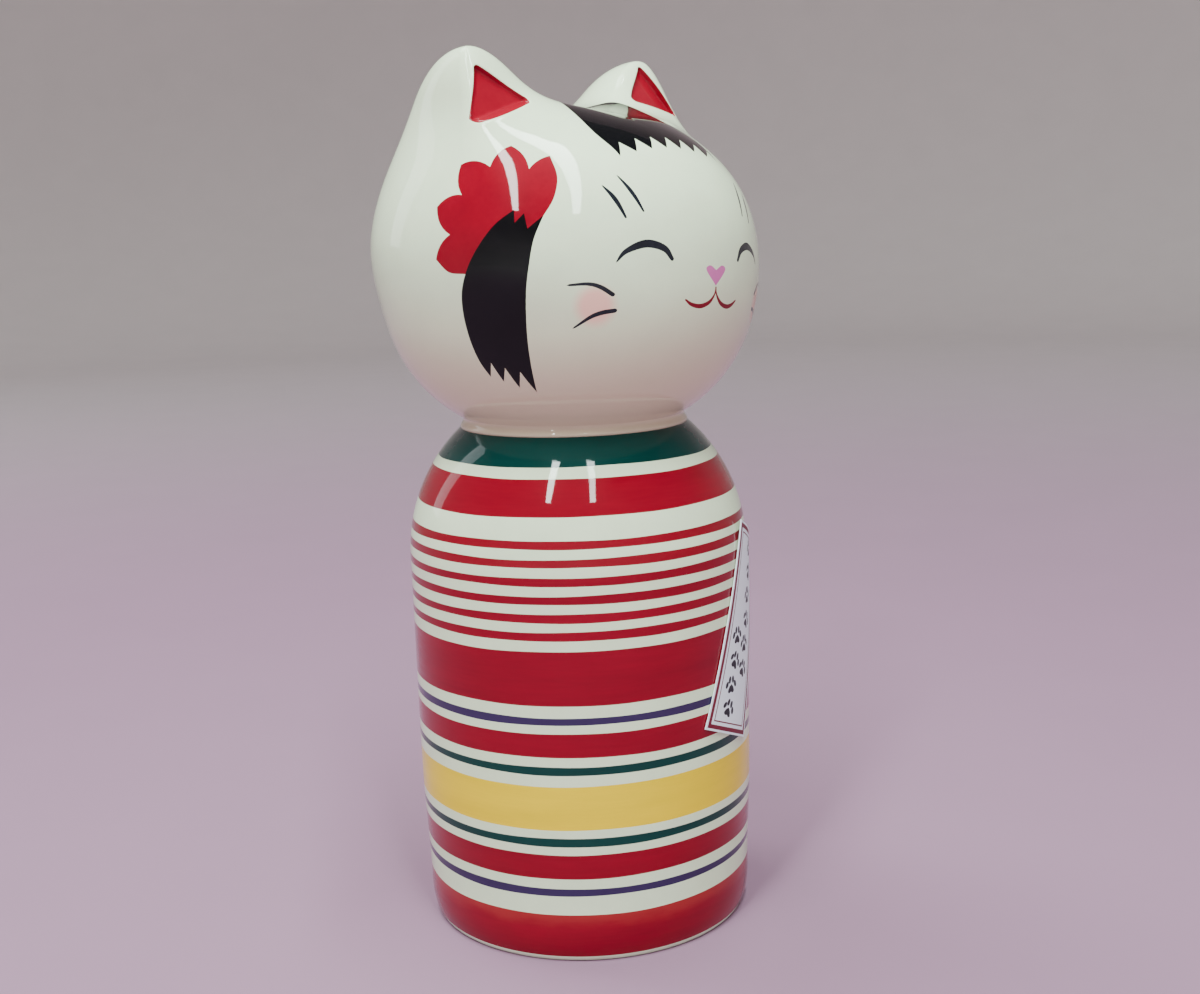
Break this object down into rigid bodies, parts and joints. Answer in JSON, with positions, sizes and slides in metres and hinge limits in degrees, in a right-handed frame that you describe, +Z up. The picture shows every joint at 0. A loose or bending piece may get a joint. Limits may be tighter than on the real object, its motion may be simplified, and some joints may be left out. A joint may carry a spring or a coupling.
{
  "type": "kokeshi cat doll coin bank",
  "caption": "Hollow glazed ceramic kokeshi doll with a cat's head and striped cylindrical body, with a coin slot, a pull-out base stopper and a paper tag.",
  "frame": {"origin": "centre of the doll's footprint, on the surface that the foot ring stands on", "axes": "+Z up along the doll's axis; the doll faces -Y; +X is towards the doll's left hand side"},
  "size_m": [0.0994, 0.0988, 0.2262],
  "materials": {
    "head_glaze": "high-gloss ivory glaze over painted features",
    "body_glaze": "high-gloss clear glaze over crimson, ivory, green, yellow and purple stripes",
    "stopper_vinyl": "satin, soft vinyl",
    "tag_card": "smooth white card with a double red border"
  },
  "bodies": {
    "doll": {"head_shell": "head_glaze", "body_shell": "body_glaze", "paper_tag": "tag_card"},
    "stopper": {"base_stopper": "stopper_vinyl"}
  },
  "joints": [
    {"name": "stopper_pull", "type": "slide", "parent": "doll", "child": "stopper", "axis": [0, 0, -1], "range_m": [0, 0.02]}
  ]
}
